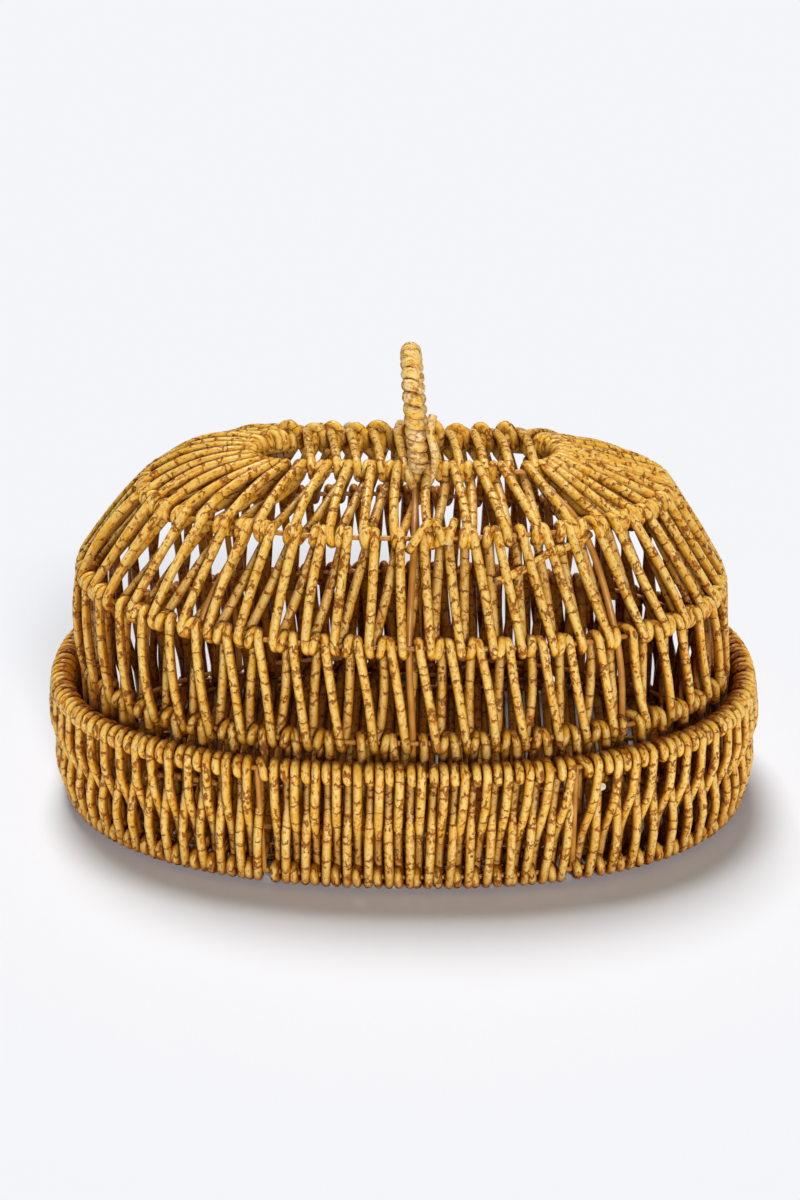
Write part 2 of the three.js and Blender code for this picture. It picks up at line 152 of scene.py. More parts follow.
# Each ring by its half length, half width and height
rim_ring = Ring(RIM_HALF[0] + RIM_SPREAD, RIM_HALF[1], RIM_Z, RIM_ROUND, shift=RIM_SHIFT)
bottom_ring = Ring(RIM_HALF[0] - WALL_FLARE, RIM_HALF[1] - WALL_FLARE, BOTTOM_Z, RIM_ROUND)
floor_ring = Ring(bottom_ring.half_length - FLOOR_INSET, bottom_ring.half_width - FLOOR_INSET,
                  BOTTOM_Z, RIM_ROUND)
collar_ring = Ring(169.5, 105.5, RIM_Z + COLLAR_RISE, LID_ROUND, offset=RIB_OFFSET,
                   front_shares=(0.51, 0.48))
waist_ring = Ring(167.5, 100.0, RIM_Z + WAIST_RISE, LID_ROUND, WAIST_TILT, RIB_OFFSET,
                  (0.51, 0.485), WAIST_SHIFT)
shoulder_ring = Ring(135.5, 69.5, RIM_Z + SHOULDER_RISE, LID_ROUND, offset=RIB_OFFSET,
                     front_shares=(0.54, 0.49))
crown_ring = Ring(82.0, 21.5, RIM_Z + CROWN_RISE, offset=RIB_OFFSET, front_shares=(0.69, 0.63))
foot_ring = Ring(166.0, 102.0, FOOT_Z, LID_ROUND, offset=RIB_OFFSET, front_shares=(0.51, 0.48))

# Strands of the crown band, by their distance from the front rib: wide apart on the crown's
# rails, crowded round its ends and spread out again on the shoulder ring
CROWN_STRANDS = 48
CROWN_RIGHT = (7, 18.7, 31, 44, 57, 64.8, 68.5, 72.2, 76, 79.8, 83.5, 87.2)
CROWN_LEFT = (9.8, 21.6, 33.7, 45, 58, 67.3, 71.5, 75.5, 81, 86.5, 92, 97.5)
SHOULDER_RIGHT = (8, 26, 44, 62, 80, 96, 106, 116, 127, 138, 149, 160)
SHOULDER_LEFT = (11, 24.6, 41.5, 60, 79, 97, 111, 123, 134, 145, 156, 167)
# Slots from one crown strand to the next, and the first strand's slot
CROWN_STEP = 3.0
CROWN_FIRST = 0.95


def all_round(right, left, ring):
    """Distances of a front quarter on each side and of their mirror images at the back."""
    right, left = np.array(right, float), np.array(left, float)
    half = ring.length / 2
    lap = np.concatenate([RIB_OFFSET + right, half - RIB_OFFSET - right[::-1],
                          half - RIB_OFFSET + left, ring.length + RIB_OFFSET - left[::-1]])
    return np.append(lap, lap[0] + ring.length)


def placed(slots, q):
    """Distances round a ring for slot numbers, by a table of one lap."""
    marks, distances = slots
    lap = marks[-1] - marks[0]
    laps = np.floor((np.asarray(q, float) - marks[0]) / lap)
    return np.interp(q - laps * lap, marks, distances) + laps * (distances[-1] - distances[0])


def new_object(name, data):
    obj = bpy.data.objects.new(name, data)
    bpy.context.scene.collection.objects.link(obj)
    return obj


# Sides of the tubes, and how uneven the cord's radius is
CORD_SIDES = 10
WIRE_SIDES = 12
CORD_LUMPS = 0.025
WRAP_LUMPS = 0.02
# Swells of the cord as share, waves along it in radians for each mm, and start
SWELLS = ((0.5, 0.31, 1.3), (0.3, 0.83, 0.4), (0.2, 1.7, 0.0))
SIDE_SWELL = (0.6, 0.43, 0.7)
CAP_UV = 0.02
# How far the cord's bends are rounded, the step of its fine path, and the most that one span
# of its mesh may turn and be long
BEND_SPREAD = 1.1
PATH_STEP = 0.5
MOST_TURN = 0.30
MOST_LENGTH = 6.0
CURVE_STEPS = 8


def smoothed(points, closed, spread, step):
    """Points evenly spaced along the path, with its corners rounded."""
    path = np.vstack([points, points[:1]]) if closed else points
    marks = np.concatenate([[0], np.cumsum(np.linalg.norm(np.diff(path, axis=0), axis=1))])
    count = int(marks[-1] / step)
    even = np.linspace(0, marks[-1], count, endpoint=not closed)
    line = np.stack([np.interp(even, marks, path[:, i]) for i in range(3)], 1)
    reach = int(3 * spread / step) + 1
    weights = np.exp(-0.5 * (np.arange(-reach, reach + 1) * step / spread) ** 2)
    weights /= weights.sum()
    ends = {"mode": "wrap"} if closed else {"mode": "reflect", "reflect_type": "odd"}
    padded = np.pad(line, ((reach, reach), (0, 0)), **ends)
    return np.stack([np.convolve(padded[:, i], weights, "valid") for i in range(3)], 1)


def thinned(line, closed, most_turn, most_length):
    """The points of a fine path that are needed for its bends."""
    step = np.diff(line, axis=0)
    length = np.linalg.norm(step, axis=1)
    way = step / length[:, None]
    bend = np.concatenate([[0], np.arccos(np.clip((way[1:] * way[:-1]).sum(1), -1, 1))])
    cost = np.cumsum(np.maximum(bend / most_turn, length / most_length))
    count = int(cost[-1]) + 1
    targets = np.linspace(0, cost[-1], count, endpoint=not closed)
    keep = np.unique(np.searchsorted(cost, targets).clip(0, len(line) - 1))
    return line[keep]


def frames_along(line, closed):
    """Two directions across the path at each point, carried along without twist."""
    after = np.roll(line, -1, 0) - line
    before = line - np.roll(line, 1, 0)
    if not closed:
        after[-1] = before[-1]
        before[0] = after[0]
    way = unit(unit(after) + unit(before))
    normal = np.cross(way[0], (0.0, 0.0, 1.0))
    if np.linalg.norm(normal) < 0.1:
        normal = np.cross(way[0], (1.0, 0.0, 0.0))
    normals = np.empty_like(line)
    for i, w in enumerate(way):
        normal = normal - w * (normal @ w)
        normal /= math.sqrt(normal @ normal)
        normals[i] = normal
    if closed:
        last = normals[-1] - way[0] * (normals[-1] @ way[0])
        slip = math.atan2(np.cross(last, normals[0]) @ way[0], last @ normals[0])
        turn = np.linspace(0, slip, len(line))[:, None]
        sides = np.cross(way, normals)
        normals = normals * np.cos(turn) + sides * np.sin(turn)
    return normals, np.cross(way, normals)


def tube(line, radius, sides, closed=False, lumps=0.0, flat=None):
    """A tube along a path, its ends closed by cut faces. flat gives directions and the share
    by which the section is pressed along them."""
    count = len(line)
    normals, laterals = frames_along(line, closed)
    steps = np.linalg.norm(np.diff(line, axis=0), axis=1)
    along = np.concatenate([[0], np.cumsum(steps)])
    angle = np.arange(sides) * 2 * math.pi / sides
    radii = np.full((count, sides), radius, float)
    if lumps:
        wave = sum(share * np.sin(along * rate + start) for share, rate, start in SWELLS)
        side_share, side_rate, side_start = SIDE_SWELL
        side_wave = np.sin(along[:, None] * side_rate + angle * 2 + side_start)
        radii *= 1 + lumps * (wave[:, None] + side_share * side_wave)
    offset = (normals[:, None] * np.cos(angle)[None, :, None]
              + laterals[:, None] * np.sin(angle)[None, :, None]) * radii[..., None]
    if flat is not None:
        ways, press = flat
        offset -= (offset * ways[:, None]).sum(2, keepdims=True) * ways[:, None] * press
        spread = np.cross(ways, np.cross(normals, laterals))
        offset += (offset * spread[:, None]).sum(2, keepdims=True) * spread[:, None] * press
    verts = (line[:, None] + offset).reshape(-1, 3) * MM
    ring = np.arange(count if closed else count - 1)
    a = ring[:, None] * sides + np.arange(sides)
    b = ((ring + 1) % count)[:, None] * sides + np.arange(sides)
    quads = np.stack([a, np.roll(a, -1, 1), np.roll(b, -1, 1), b], 2).reshape(-1, 4)
    ahead = np.append(along, along[-1] + 1)[ring + 1]
    u = np.stack([along[ring], along[ring], ahead, ahead], 1) * U_PER_MM
    v_low = np.arange(sides) / sides
    v_high = v_low + 1 / sides
    uv = np.empty((len(ring), sides, 4, 2))
    uv[..., 0] = u[:, None]
    uv[..., 1] = np.stack([v_low, v_high, v_high, v_low], 1)[None]
    faces = [tuple(q) for q in quads.tolist()]
    uv = uv.reshape(-1, 2)
    if not closed:
        faces.append(tuple(range(sides - 1, -1, -1)))
        last = (count - 1) * sides
        faces.append(tuple(range(last, last + sides)))
        cap = 0.5 + CAP_UV * np.stack([np.cos(angle), np.sin(angle)], 1)
        uv = np.vstack([uv, cap, cap])
    return verts, faces, uv


def wind(path, closed=False, radius=CORD):
    """A cord along a path."""
    fine = smoothed(path, closed, BEND_SPREAD, PATH_STEP)
    line = thinned(fine, closed, MOST_TURN, MOST_LENGTH)
    return tube(line, radius, CORD_SIDES, closed, CORD_LUMPS)


def curve(points):
    """A fine curve through a few points."""
    points = np.array(points, float)
    last = len(points) - 1
    t = np.linspace(0, last, len(points) * CURVE_STEPS)
    i = np.clip(np.floor(t).astype(int), 0, last - 1)
    f = (t - i)[:, None]
    p0, p1 = points[np.maximum(i - 1, 0)], points[i]
    p2, p3 = points[i + 1], points[np.minimum(i + 2, last)]
    return 0.5 * (2 * p1 + (p2 - p0) * f + (2 * p0 - 5 * p1 + 4 * p2 - p3) * f ** 2
                  + (3 * p1 - p0 - 3 * p2 + p3) * f ** 3)


def add_piece(name, body, parts, material, nodes=(), cut_material=None):
    """One object from one or more tubes, on its body and in the place of the frame's nodes. Its
    cut ends may have their own material."""
    verts, faces, uvs = [], [], []
    base = 0
    for part_verts, part_faces, part_uv in parts:
        verts.append(part_verts)
        faces += [tuple(i + base for i in f) for f in part_faces]
        uvs.append(part_uv)
        base += len(part_verts)
    mesh = bpy.data.meshes.new(name)
    mesh.from_pydata(np.vstack(verts).tolist(), [], faces)
    layer = mesh.uv_layers.new(name="cord")
    layer.data.foreach_set("uv", np.vstack(uvs).astype(np.float32).ravel())
    mesh.polygons.foreach_set("use_smooth", [len(f) == 4 for f in faces])
    mesh.materials.append(material)
    if cut_material:
        mesh.materials.append(cut_material)
        mesh.polygons.foreach_set("material_index", [int(len(f) != 4) for f in faces])
    mesh.update()
    obj = new_object(name, mesh)
    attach(obj, body)
    if nodes:
        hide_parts(*nodes)


# Sockets of a colour mix: its factor and two colours, and its result
MIX_INPUTS = (0, 6, 7)
MIX_RESULT = 2


def new_material(name):
    """A material with its node tree and shader."""
    material = bpy.data.materials.new(name)
    material.use_nodes = True
    return material, material.node_tree, material.node_tree.nodes["Principled BSDF"]


def node(tree, kind, **values):
    made = tree.nodes.new(kind)
    for key, value in values.items():
        setattr(made, key, value)
    return made


def set_inputs(tree, made, values):
    """Gives a node's first inputs their values, which are numbers, tuples or outputs."""
    for socket, value in zip(made.inputs, values):
        if isinstance(value, (int, float, tuple)):
            socket.default_value = value
        else:
            tree.links.new(value, socket)


def math_node(tree, operation, *values):
    made = node(tree, "ShaderNodeMath", operation=operation)
    set_inputs(tree, made, values)
    return made.outputs[0]


def times(tree, a, b):
    return math_node(tree, "MULTIPLY", a, b)


def vector_node(tree, operation, *values):
    made = node(tree, "ShaderNodeVectorMath", operation=operation)
    set_inputs(tree, made, values)
    return made.outputs["Value" if operation in ("DOT_PRODUCT", "LENGTH") else "Vector"]


def ramp(tree, value, low, high, from_value=0.0, to_value=1.0):
    """A smooth step between two levels as a value goes from low to high."""
    made = node(tree, "ShaderNodeMapRange", interpolation_type="SMOOTHSTEP")
    set_inputs(tree, made, (value, low, high, from_value, to_value))
    return made.outputs[0]


def mixed(tree, factor, a, b, blend_type="MIX"):
    """A mix of two colours, which are tuples or outputs."""
    made = node(tree, "ShaderNodeMix", data_type="RGBA", blend_type=blend_type)
    for index, value in zip(MIX_INPUTS, (factor, a, b)):
        if isinstance(value, tuple):
            made.inputs[index].default_value = (*value, 1)
        else:
            tree.links.new(value, made.inputs[index])
    return made.outputs[MIX_RESULT]


def noise(tree, vector, scale, detail=2.0, roughness=0.5, output="Fac"):
    made = node(tree, "ShaderNodeTexNoise")
    for socket, value in (("Scale", scale), ("Detail", detail), ("Roughness", roughness)):
        made.inputs[socket].default_value = value
    tree.links.new(vector, made.inputs["Vector"])
    return made.outputs[output]


def add_bump(tree, shader, height, strength, distance):
    """Fine relief on a shader's surface, its distance in metres."""
    bump = node(tree, "ShaderNodeBump")
    bump.inputs["Strength"].default_value = strength
    bump.inputs["Distance"].default_value = distance
    tree.links.new(height, bump.inputs["Height"])
    tree.links.new(bump.outputs[0], shader.inputs["Normal"])


# Colours of the cord, the wires' paint and the cord's core. The riper straw and the painted shade
# tint are shares of what they lie on.
STRAW = (0.91, 0.61, 0.135)
HANDLE_STRAW = (0.99, 0.79, 0.42)
RIPER = (0.90, 0.705, 0.222)
# painted highlight colour for the cord's outward faces
HIGHLIGHT_CREAM = (0.93, 0.76, 0.40)
AMBER = (0.70, 0.265, 0.005)
HALO = (0.56, 0.16, 0.002)
SPECK = (0.44, 0.12, 0.003)
CRACK = (0.27, 0.068, 0.002)
# painted shade tint, multiplied into the cord on its sides and in the gaps of the weave
SHADE_TINT = (0.34, 0.155, 0.035)
PAINT = (0.62, 0.27, 0.035)
PAINT_RUN = (0.48, 0.18, 0.020)
PAINT_CHIP = (0.28, 0.09, 0.02)
CORE = (0.80, 0.72, 0.56)
CORE_GRAIN = (0.62, 0.50, 0.34)

# The noises see the cord this long for each unit of u, and with this radius
ALONG_SCALE = 9.0
ROUND_SCALE = 0.27
# Cells wider round the cord than along it give arcs across it
CELL_SQUEEZE = (1.25, 0.42, 0.42)
CELL_WARP = (0.7, 0.7, 0.7)
CELL_SCALE = 1.05
# The dome's outward direction at a place is about that of the place times these
DOME_WEIGHTS = (1.0, 2.3, 0.9)
# How far round a place the occlusion for the painted shade in the weave's gaps reaches, and the
# heights over which the painted deeper orange and the painted gap shade grow less, in metres
GAP_REACH = 0.028
SIDE_SHADE_HEIGHTS = (0.120, 0.180)
GAP_SHADE_HEIGHTS = (0.090, 0.160)


def cord_material(name, shade_depth, marks, pale):
    """Straw-coloured plastic cord with brown crackle lines across it and orange mottling, with
    painted shade on its sides and in the gaps of the weave, most in the lower weave, and a painted
    highlight on its outward faces.

    After the name comes how deep the painted shade is, then marks, the strength of the lines, and
    pale, the palest straw.
    """
    material, tree, shader = new_material(name)
    uv = node(tree, "ShaderNodeUVMap", uv_map="cord")
    split = node(tree, "ShaderNodeSeparateXYZ")
    tree.links.new(uv.outputs[0], split.inputs[0])
    turn = times(tree, split.outputs[1], 2 * math.pi)
    round_cord = node(tree, "ShaderNodeCombineXYZ")
    set_inputs(tree, round_cord, (
        times(tree, split.outputs[0], ALONG_SCALE),
        times(tree, math_node(tree, "COSINE", turn), ROUND_SCALE),
        times(tree, math_node(tree, "SINE", turn), ROUND_SCALE)))
    place = round_cord.outputs[0]

    squeezed = vector_node(tree, "MULTIPLY", place, CELL_SQUEEZE)
    warp = noise(tree, place, 2.6, output="Color")
    shifted = vector_node(tree, "MULTIPLY_ADD", warp, CELL_WARP, squeezed)
    cells = node(tree, "ShaderNodeTexVoronoi", feature="DISTANCE_TO_EDGE")
    cells.inputs["Scale"].default_value = CELL_SCALE
    tree.links.new(shifted, cells.inputs["Vector"])
    edge = cells.outputs["Distance"]
    presence = ramp(tree, noise(tree, place, 2.6, 1.0), 0.42, 0.50)
    crack = times(tree, ramp(tree, edge, 0.026, 0.070, 1.0, 0.0), presence)
    halo = ramp(tree, edge, 0.05, 0.34, 1.0, 0.0)

    fine = noise(tree, place, 5.2, 4.0, 0.62)
    blotch = ramp(tree, fine, 0.49, 0.62)
    tone = ramp(tree, noise(tree, place, 1.4), 0.3, 0.72)
    specks = ramp(tree, noise(tree, place, 13.0, roughness=0.7), 0.60, 0.70)

    # painted shade: the sides and insides of the lower weave turn a deeper orange, as if turned
    # away from the light
    coords = node(tree, "ShaderNodeTexCoord")
    where = coords.outputs["Object"]
    outward = vector_node(tree, "NORMALIZE", vector_node(tree, "MULTIPLY", where, DOME_WEIGHTS))
    facing = vector_node(tree, "DOT_PRODUCT", outward, coords.outputs["Normal"])
    uneven = math_node(tree, "ADD", facing, times(tree, fine, 0.5))
    split_place = node(tree, "ShaderNodeSeparateXYZ")
    tree.links.new(where, split_place.inputs[0])
    height = split_place.outputs[2]
    low = ramp(tree, height, *SIDE_SHADE_HEIGHTS, shade_depth, 0.0)
    inside = times(tree, ramp(tree, uneven, 0.40, 1.05, 1.0, 0.0), low)
    # and painted shade darkens the weave where it is occluded, in its gaps
    gaps = node(tree, "ShaderNodeAmbientOcclusion", samples=4)
    gaps.inputs["Distance"].default_value = GAP_REACH
    gap_shade_by_height = ramp(tree, height, *GAP_SHADE_HEIGHTS, shade_depth + 0.2, 0.4 + 0.2 * shade_depth)
    lee = times(tree, gap_shade_by_height, ramp(tree, uneven, 0.8, 1.3, 1.0, 0.6))
    gap_shade = times(tree, ramp(tree, gaps.outputs["AO"], 0.20, 0.84, 1.0, 0.0), lee)
    painted_shade = math_node(tree, "MAXIMUM", inside, gap_shade)

    straw = mixed(tree, tone, pale, tuple(np.multiply(pale, RIPER)))
    # painted highlight: the faces that turn outward are painted pale cream
    painted_highlight = times(tree, ramp(tree, uneven, 1.02, 1.36), 0.55)
    highlighted = mixed(tree, painted_highlight, straw, HIGHLIGHT_CREAM)
    amber = mixed(tree, times(tree, blotch, 0.8), highlighted, AMBER)
    near = times(tree, times(tree, halo, blotch), marks)
    warm = mixed(tree, near, amber, HALO)
    dotted = mixed(tree, times(tree, specks, 0.4), warm, SPECK)
    lined = mixed(tree, times(tree, crack, marks), dotted, CRACK)
    # the painted shade, deeper orange and gap shade, multiplies the colour
    shaded = mixed(tree, painted_shade, lined, SHADE_TINT, "MULTIPLY")
    tree.links.new(shaded, shader.inputs["Base Color"])

    rough = ramp(tree, fine, 0.3, 0.7, 0.26, 0.40)
    rough_lined = math_node(tree, "ADD", rough, times(tree, crack, 0.3))
    tree.links.new(rough_lined, shader.inputs["Roughness"])
    shader.inputs["Specular IOR Level"].default_value = 0.2
    relief = math_node(tree, "SUBTRACT", times(tree, fine, 0.5), times(tree, crack, 0.8))
    add_bump(tree, shader, relief, 0.55, 0.0004)
    return material


def wire_material():
    """Orange-brown paint on drawn wire, with darker runs and small chips of wear."""
    material, tree, shader = new_material("painted_wire")
    where = node(tree, "ShaderNodeTexCoord").outputs["Object"]
    fine = noise(tree, where, 700.0)
    runs = ramp(tree, noise(tree, where, 90.0, 3.0), 0.35, 0.65)
    chips = times(tree, ramp(tree, fine, 0.66, 0.76), 0.5)
    paint = mixed(tree, chips, mixed(tree, runs, PAINT, PAINT_RUN), PAINT_CHIP)
    tree.links.new(paint, shader.inputs["Base Color"])
    tree.links.new(ramp(tree, fine, 0.3, 0.7, 0.30, 0.45), shader.inputs["Roughness"])
    add_bump(tree, shader, fine, 0.25, 0.0002)
    return material


def core_material():
    """The pale core that shows at the cord's cut ends."""
    material, tree, shader = new_material("cut_core")
    where = node(tree, "ShaderNodeTexCoord").outputs["Object"]
    grain = ramp(tree, noise(tree, where, 900.0, 3.0), 0.35, 0.65)
    tree.links.new(mixed(tree, grain, CORE, CORE_GRAIN), shader.inputs["Base Color"])
    shader.inputs["Roughness"].default_value = 0.6
    return material


# The first number of each cord is how deep its painted shade is, most of it in the lower weave
cord_look = cord_material("rattan_cord", shade_depth=0.88, marks=0.9, pale=STRAW)
handle_look = cord_material("handle_cord", shade_depth=0.0, marks=0.45, pale=HANDLE_STRAW)
core_look = core_material()
wire_look = wire_material()


class Band:
    """Two rings with a winding on them. A place on it is a slot number round the rings, a share
    of the height and a depth."""

    def __init__(self, upper, lower, upper_slots=None, lower_slots=None):
        self.upper = upper
        self.lower = lower
        self.upper_slots = upper_slots or upper.slots
        self.lower_slots = lower_slots or lower.slots

    def frame_at(self, q):
        """Points on both rings, and the directions up the band and away from it."""
        top, top_out = self.upper.at(placed(self.upper_slots, q))
        bottom, bottom_out = self.lower.at(placed(self.lower_slots, q))
        out = unit(top_out + bottom_out)
        step = top - bottom
        outward = (step * out).sum(-1, keepdims=True)
        rise = out * outward
        rise[..., 2] = step[..., 2]
        rise = unit(rise)
        away = out * rise[..., 2:3]
        away[..., 2] = -(rise * out).sum(-1)
        return top, bottom, rise, away

    def loop(self, at_top, q, degrees, radius):
        """Points round one ring. 0 degrees is its far side from the other ring, 90 outside."""
        top, bottom, rise, away = self.frame_at(q)
        angle = np.radians(degrees)[:, None]
        far = rise if at_top else -rise
        centre = top if at_top else bottom
        return centre + (far * np.cos(angle) + away * np.sin(angle)) * np.reshape(radius, (-1, 1))

    def strand(self, q, height, depth):
        """Points between the rings, their depth outward of the wires' middles."""
        top, bottom, _, away = self.frame_at(q)
        share = np.reshape(height, (-1, 1))
        return bottom * (1 - share) + top * share + away * np.reshape(depth, (-1, 1))


def keyed(keys, count):
    """Rows of key values, filled in evenly."""
    keys = np.array(keys, float)
    t = np.linspace(0, len(keys) - 1, count)
    return [np.interp(t, np.arange(len(keys)), keys[:, i]) for i in range(keys.shape[1])]


# Lid bands: down outside, under the lower ring, up inside, over the upper ring and once more
# round it. The extra turn lies left of a rib, and the cord then crosses behind the rib.
# Places along a panel are in slots from its left rib.
STRANDS = 7
TURN = 1.0
FIRST_DOWN = (1.0, 1.3, 0.8, 0.5, 1.0, 1.2, 0.8, 0.3)
LAST_DOWN = 17.7
LAST_DOWN_NO_TURN = 18.4
TURN_AT_RIB = -0.65
PLAIN_PANELS = (0, 4)
# A step of more slots than this crosses a rib
RIB_STEP = 3.5
# Slots from an outer strand's head to its foot and on to the inner strand, and before a rib
FOOT_STEPS = (1.0, 0.88)
INNER_STEPS = (0.36, 0.6)
# How much further in a turn passes, and behind a rib
TURN_DEPTHS = (0.2, 3.6)
INNER_BOW = 0.4
# Crown strands closer than this, in mm, have no extra turn
TURN_ROOM = 8
# From the middle of a ring wire to that of a rib, and the clearance of the cord that passes it
INSIDE_RIB = 3.0
RIB_CLEARANCE = 0.1
# Points of a strand, an extra turn, and a pass over the upper and under the lower ring
STRAND_POINTS = 9
TURN_POINTS = 56
OVER_POINTS = 16
UNDER_POINTS = 18
# Spreads of the cord's places going down and turning, of a strand's swell in mm, and of the
# sideways bends of outer and inner strands
DOWN_SPREAD = 0.08
TURN_SPREAD = 0.06
SWELL_SPREAD = 0.7
OUTER_SWAY = 0.13
INNER_SWAY = 0.14


def rib_depth(band, q, height, depth):
    """Depth of an inner strand that passes inside the ribs it crosses."""
    deeper = np.array(depth, float)
    for i in range(-1, PANELS + 2):
        rib = i % PANELS
        lap = (i - rib) // PANELS
        top = placed(band.upper_slots, q) - (band.upper.ribs[rib] + lap * band.upper.length)
        bottom = placed(band.lower_slots, q) - (band.lower.ribs[rib] + lap * band.lower.length)
        beside = np.abs(bottom * (1 - height) + top * height)
        room = WIRE + CORD + RIB_CLEARANCE
        need = -(INSIDE_RIB + np.sqrt(np.maximum(room ** 2 - beside ** 2, 0)))
        deeper = np.where(beside < room, np.minimum(deeper, need), deeper)
    return deeper


slot_numbers = CROWN_STEP * np.arange(CROWN_STRANDS + 1)
crown_slots = ((slot_numbers + CROWN_FIRST, all_round(CROWN_RIGHT, CROWN_LEFT, crown_ring)),
               (slot_numbers + (CROWN_FIRST + TURN),
                all_round(SHOULDER_RIGHT, SHOULDER_LEFT, shoulder_ring)))


def crown_strands():
    """Slots of the crown band's strands, of their extra turns, and which have one."""
    marks, distances = crown_slots[0]
    downs = marks[:-1]
    apart = np.diff(distances)
    turned = np.minimum(apart, np.roll(apart, 1)) > TURN_ROOM
    return downs, downs - TURN, turned


def rib_strands(skipped):
    """The same for a band whose strands are set out between the ribs."""
    downs, turns, turned = [], [], []
    for panel in range(PANELS):
        last = LAST_DOWN_NO_TURN if (panel + 1) % PANELS in PLAIN_PANELS else LAST_DOWN
        for k, slot in enumerate(np.linspace(FIRST_DOWN[panel], last, STRANDS)):
            downs.append(panel * SLOTS + slot)
            turns.append(panel * SLOTS + (slot - TURN if k else TURN_AT_RIB))
            at_plain = k == 0 and panel in PLAIN_PANELS
            turned.append(not at_plain and (k == 0 or rng.random() >= skipped))
    return np.array(downs), np.array(turns), np.array(turned)


def lid_band(band, strands, bow, left_bow):
    """One cord wound round a band of the lid. Its outer strands swell by bow, and by more of
    left_bow the further left they stand."""
    downs, turns, turned = strands
    count = len(downs)
    lap = band.upper_slots[0][-1] - band.upper_slots[0][0]
    heights = np.linspace(0.94, 0.06, STRAND_POINTS)
    up = heights[::-1]
    hump = np.sin(math.pi * heights)
    hump_up = np.sin(math.pi * up)
    path = []
    for i in range(count):
        jitter = rng.normal(0, 1, 4)
        following = (i + 1) % count
        next_lap = lap if following == 0 else 0.0
        at_rib = int(downs[i] - turns[i] > 1.2 * TURN)
        before_rib = int(downs[following] + next_lap - downs[i] > RIB_STEP)
        down = downs[i] + DOWN_SPREAD * jitter[0]
        below = down + FOOT_STEPS[before_rib] + DOWN_SPREAD * jitter[1]
        turn = turns[i] + TURN_SPREAD * jitter[2]
        if turned[i]:
            behind = TURN_DEPTHS[at_rib]
            q, degrees, radius = keyed([
                (turn + 0.30, -80, REACH + 1.6),
                (turn + 0.20, -5, REACH + 0.2),
                (turn + 0.10, 45, REACH),
                (turn + 0.02, 90, REACH),
                (turn - 0.14, 150, REACH),
                (turn - 0.12, 195, REACH),
                ((turn + down) / 2, 285, REACH + behind),
                (down - 0.12, 360, REACH),
                (down, 440, REACH),
            ], TURN_POINTS)
        else:
            q, degrees, radius = keyed([
                (down - 0.30, -80, REACH + 0.5),
                (down - 0.10, 0, REACH + 0.2),
                (down, 80, REACH),
            ], OVER_POINTS)
        path.append(band.loop(True, q, degrees, radius))
        _, out = band.lower.at(placed(band.lower_slots, below))
        swell = bow - left_bow * out[0] + rng.normal(0, SWELL_SPREAD)
        q = down + (below - down) * (1 - heights) + rng.normal(0, OUTER_SWAY) * hump
        path.append(band.strand(q, heights, REACH + swell * 4 * heights * (1 - heights)))
        inner = below + INNER_STEPS[before_rib]
        q, degrees = keyed([(below, 100), (below + 0.12, 0), (inner, -80)], UNDER_POINTS)
        path.append(band.loop(False, q, degrees, REACH))
        arrive = turns[following] + 0.25 if turned[following] else downs[following] - 0.30
        arrive += next_lap
        q = inner + (arrive - inner) * up + rng.normal(0, INNER_SWAY) * hump_up
        depth = -REACH + INNER_BOW * hump_up
        path.append(band.strand(q, up, rib_depth(band, q, up, depth)))
    return wind(np.vstack(path), closed=True)


crown_band = Band(crown_ring, shoulder_ring, *crown_slots)
shoulder_band = Band(shoulder_ring, waist_ring)
waist_band = Band(waist_ring, collar_ring)
skirt_band = Band(collar_ring, foot_ring)

PANEL_NAMES = ("front", "right", "back", "left")
for band_name, band, strands, bow, left_bow in (
        ("crown", crown_band, crown_strands(), 2.8, 2.2),
        ("shoulder", shoulder_band, rib_strands(0.12), 1.2, 0.8),
        ("waist", waist_band, rib_strands(0.05), 1.0, 0.8),
        ("skirt", skirt_band, rib_strands(0.05), 1.0, 0.0)):
    add_piece(f"lid_{band_name}_weave", "lid", [lid_band(band, strands, bow, left_bow)],
              cord_look, [f"lid_{band_name}_winding_{side}" for side in PANEL_NAMES])


# Tray wall: the cord takes a half hitch round each ring in turn, on its way up from the outside
# of the bottom ring to the inside of the rim. Post gaps leave bare wire.
WALL_PITCH = 10.35
POST_GAP = 3.4
POST_RIGHT = 90.0
POST_LEFT = 71.0
RIM_REACH = 4.05
BOTTOM_REACH = 3.83
# Outward swell of the strands, and how much more they swell at the ends
WALL_BOW = 0.6
END_BOW = 3.4
# Depth of a strand by height on its way down, in shares of its reach: outside at the rim, inside
# at the bottom ring. The next strand goes up the other way round.
WALL_REACH = 4.2
DEPTH_HEIGHTS = (0, 0.3, 0.5, 0.7, 1)
DEPTH_SHARES = (-0.85, -0.9, 0, 0.9, 0.85)
# Spread of the strands' places, in pitches
WALL_SPREAD = 0.042
WALL_STRAND_POINTS = 10
HEAD_POINTS = 56
HITCH_POINTS = 50
# Lean of the front strands by place along the rim, in mm, and how much of it their heads take
LEAN_PLACES = (10, 92, 97, 140)
LEANS = (0, 7, 2.5, 0)
HEAD_SHARE = 0.2
rim_length = rim_ring.length
posts = [-POST_LEFT, POST_RIGHT, rim_length / 4, rim_length / 2 - POST_RIGHT,
         rim_length / 2 + POST_LEFT, rim_length * 3 / 4, rim_length - POST_LEFT]
to_bottom = bottom_ring.length / rim_length
# The wall's slots are the rim's millimetres
rim_lap = np.array([0.0, rim_length])
wall_band = Band(rim_ring, bottom_ring, (rim_lap, rim_lap),
                 (rim_lap, np.array([0.0, bottom_ring.length])))


def wall_lean(base):
    """How far the heads of the front strands lean to the right, most just before the right post."""
    turned = posts[-1] - posts[0]
    along = (base + turned / 2) % turned - turned / 2
    return np.interp(along, LEAN_PLACES, LEANS)


